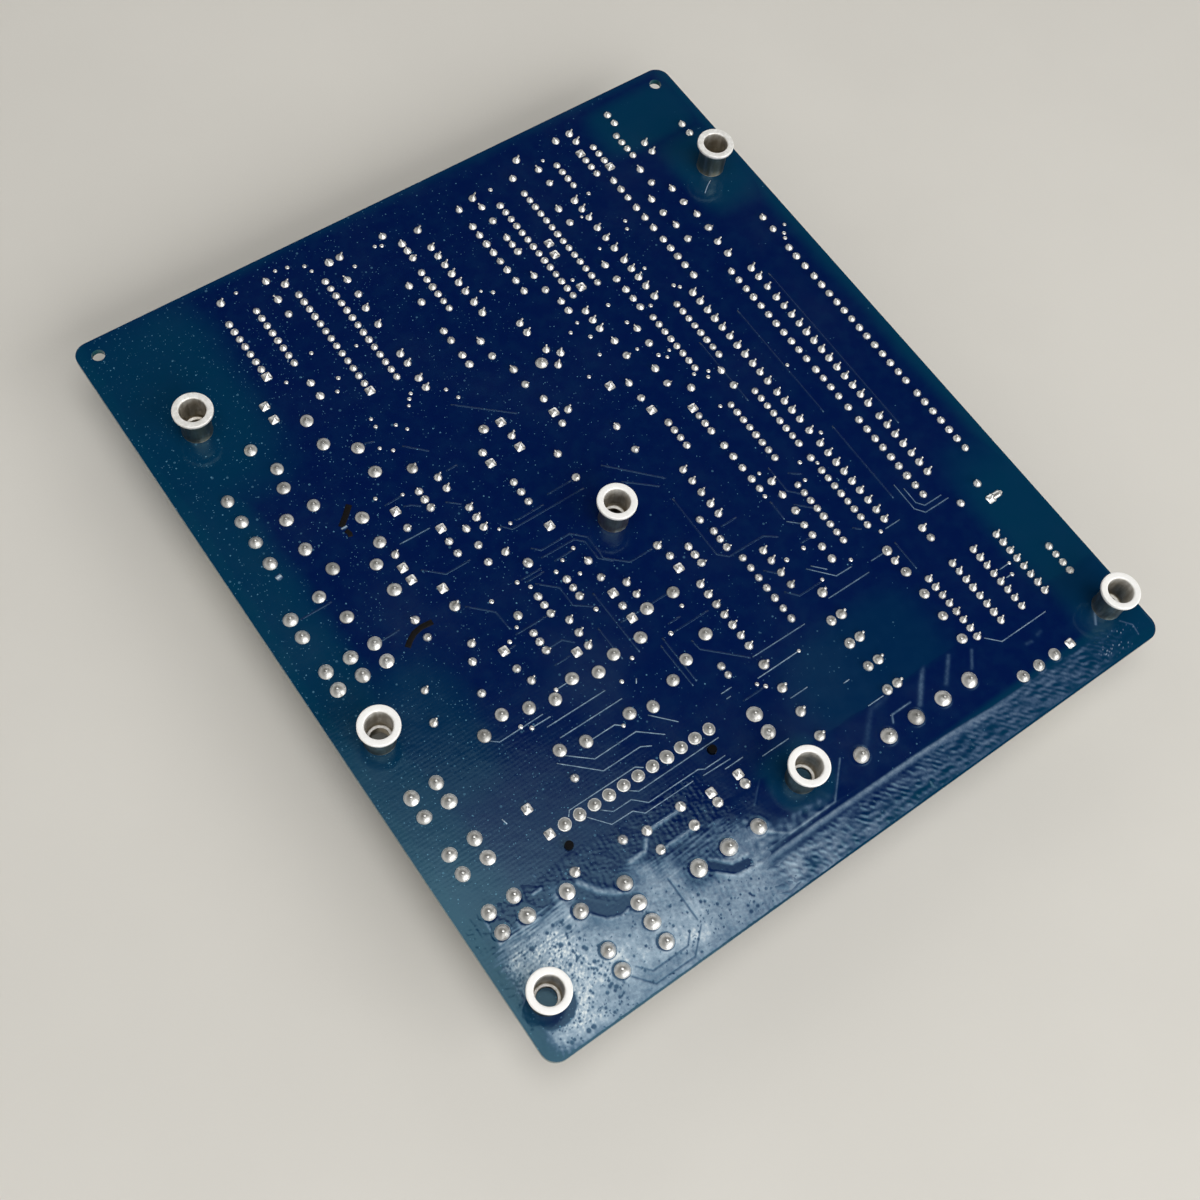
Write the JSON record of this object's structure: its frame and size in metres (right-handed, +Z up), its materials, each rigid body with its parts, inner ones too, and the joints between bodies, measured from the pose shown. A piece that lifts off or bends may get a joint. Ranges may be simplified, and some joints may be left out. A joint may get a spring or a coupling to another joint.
{
  "type": "hvac control board",
  "caption": "Through-hole control board for a heating and cooling unit, lying on its components with the solder side and flanged spacers up.",
  "frame": {"origin": "centre of the board outline, on the surface that the board lies on", "axes": "+X along the short side, +Y along the long side, +Z up out of the solder side"},
  "size_m": [0.1778, 0.2032, 0.0263],
  "materials": {
    "solder_mask_laminate": "glossy dark blue solder mask over copper and glass laminate",
    "plated_spacer": "bright drawn metal",
    "solder": "bright tin solder",
    "resistor_coat": "tan lacquer",
    "power_resistor_coat": "matt grey cement",
    "black_moulding": "matt black epoxy moulding",
    "disc_coat": "ochre ceramic dip",
    "film_case": "red case",
    "can_sleeve": "dark shrink sleeve",
    "varistor_coat": "blue dip",
    "led_lens": "red diffused lens",
    "relay_case": "moulded relay case",
    "sink_metal": "black anodised",
    "tab_metal": "tinned brass",
    "connector_nylon": "natural nylon",
    "pin_metal": "tinned brass",
    "strip_moulding": "black phenolic",
    "screw_metal": "plated steel"
  },
  "bodies": {
    "root": {"circuit_board": "solder_mask_laminate", "spacers": "plated_spacer", "chip_joints": "solder", "square_joints": "solder", "lead_joints": "solder", "power_joints": "solder", "relay_joints": "solder", "tab_joints": "solder", "terminal_joints": "solder", "header_joints": "solder", "filled_vias": "solder", "resistors_right": "resistor_coat", "resistors_middle": "resistor_coat", "resistors_left": "resistor_coat", "power_resistors": "power_resistor_coat", "diodes": "black_moulding", "disc_capacitors": "disc_coat", "film_capacitors": "film_case", "electrolytic_capacitors": "can_sleeve", "varistors": "varistor_coat", "transistors": "black_moulding", "status_leds": "led_lens", "resistor_network": "black_moulding", "main_controller": "black_moulding", "second_controller": "black_moulding", "timer_chip": "black_moulding", "driver_chip": "black_moulding", "logic_chip_upper": "black_moulding", "logic_chip_lower": "black_moulding", "display_driver_left": "black_moulding", "display_driver_right": "black_moulding", "memory_chip": "black_moulding", "sense_amplifier": "black_moulding", "comparator": "black_moulding", "blower_relay": "relay_case", "heat_relay": "relay_case", "cool_relay": "relay_case", "inducer_relay": "relay_case", "igniter_relay": "relay_case", "gas_valve_relay": "relay_case", "fan_relay": "relay_case", "main_relay": "relay_case", "regulator": "black_moulding", "heat_sink": "sink_metal", "quick_connect_tabs": "tab_metal", "harness_header": "connector_nylon", "harness_pins": "pin_metal", "power_header": "connector_nylon", "power_pins": "pin_metal", "sensor_header": "connector_nylon", "sensor_pins": "pin_metal", "link_header": "black_moulding", "diagnostic_header": "black_moulding", "thermostat_strip": "strip_moulding", "common_strip": "strip_moulding", "terminal_screws": "screw_metal"}
  },
  "joints": []
}
